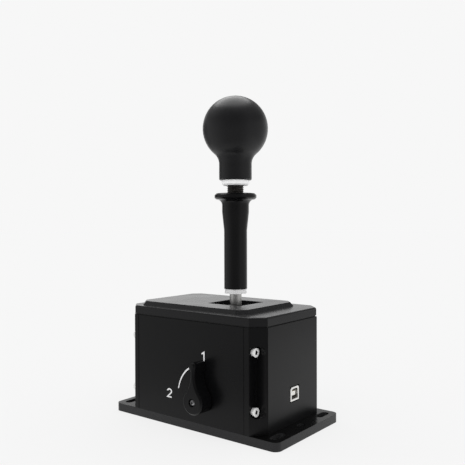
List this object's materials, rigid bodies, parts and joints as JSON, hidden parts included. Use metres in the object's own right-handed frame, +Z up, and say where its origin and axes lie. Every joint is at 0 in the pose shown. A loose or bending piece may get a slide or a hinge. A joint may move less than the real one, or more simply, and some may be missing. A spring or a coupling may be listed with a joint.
{
  "type": "gear shifter",
  "caption": "Desk-mounted gear shifter: black box housing with base plate, lever with ball knob and pull-up ring on a two-axis cradle, and a side mode selector.",
  "frame": {"origin": "centre of the base plate's underside", "axes": "+X out of the selector side panel, +Y out of the socket end, +Z up along the lever"},
  "size_m": [0.1035, 0.1676, 0.2655],
  "materials": {
    "black_anodised": "fine bead-blasted and black anodised",
    "black_steel": "black oxide",
    "knob_black": "satin moulded",
    "bright_aluminium": "turned or milled, clear",
    "bright_steel": "ground and polished",
    "bronze": "turned",
    "board_green": "solder mask",
    "chip_black": "moulded",
    "socket_white": "moulded"
  },
  "bodies": {
    "chassis": {"base_plate": "black_anodised", "front_wall": "black_anodised", "rear_wall": "black_anodised", "selector_panel": "black_anodised", "plain_panel": "black_anodised", "top_cover": "black_anodised", "corner_screws": "bright_steel", "tie_bolts": "bright_steel", "front_block": "bright_aluminium", "rear_block": "bright_aluminium", "block_bushes": "bronze", "block_screws": "bright_steel", "gate_plate": "bright_aluminium", "gate_screws": "bright_steel", "spring_cups": "bright_aluminium", "left_spring": "bright_steel", "right_spring": "bright_steel", "circuit_board": "board_green", "board_chips": "chip_black", "board_spacers": "bright_steel", "board_screws": "bright_steel", "usb_shell": "bright_steel", "usb_tongue": "socket_white", "selector_bush": "bronze", "guide_screws": "bright_steel"},
    "cradle": {"cradle": "bright_aluminium", "trunnions": "bright_steel", "axle_bushes": "bronze", "detent_plunger": "bright_steel", "tilt_magnet": "bright_steel"},
    "lever": {"lever_hub": "bright_aluminium", "stub_axles": "bright_steel", "axle_clips": "bright_steel", "set_screws": "black_steel", "lever_shaft": "bright_steel", "lever_stem": "black_steel", "jam_nut": "bright_aluminium", "shift_knob": "knob_black", "knob_insert": "bronze", "return_spring": "bright_steel"},
    "lockout": {"lockout_sleeve": "black_anodised", "lower_collar": "bright_aluminium", "cross_pin": "bright_steel", "gate_rod": "bright_steel"},
    "selector": {"selector_lever": "black_anodised", "selector_screw": "black_steel", "selector_shaft": "bright_steel", "selector_cam": "bright_steel", "cam_clip": "bright_steel"},
    "lock": {"lock_slide": "bright_aluminium"}
  },
  "joints": [
    {"name": "side_tilt", "type": "hinge", "parent": "chassis", "child": "cradle", "pos_m": [0, 0.013, 0.048], "axis": [0, 1, 0], "range_deg": [-12, 12], "stiffness_Nm_per_rad": 5, "deforming": ["left_spring", "right_spring"]},
    {"name": "fore_aft", "type": "hinge", "parent": "cradle", "child": "lever", "pos_m": [0, 0.013, 0.048], "axis": [1, 0, 0], "range_deg": [-12, 12]},
    {"name": "lockout_lift", "type": "slide", "parent": "lever", "child": "lockout", "axis": [0, 0, 1], "range_m": [0, 0.006], "stiffness_N_per_m": 600, "springref_m": -0.012, "deforming": ["return_spring"]},
    {"name": "selector_turn", "type": "hinge", "parent": "chassis", "child": "selector", "pos_m": [0.045, 0.016, 0.0264], "axis": [1, 0, 0], "range_deg": [0, 90]},
    {"name": "lock_travel", "type": "slide", "parent": "chassis", "child": "lock", "axis": [0, 1, 0], "range_m": [0, 0.004]}
  ],
  "couplings": [
    {"joint": "selector_turn", "follows": "lock_travel", "rad_per_m": 392.7}
  ]
}
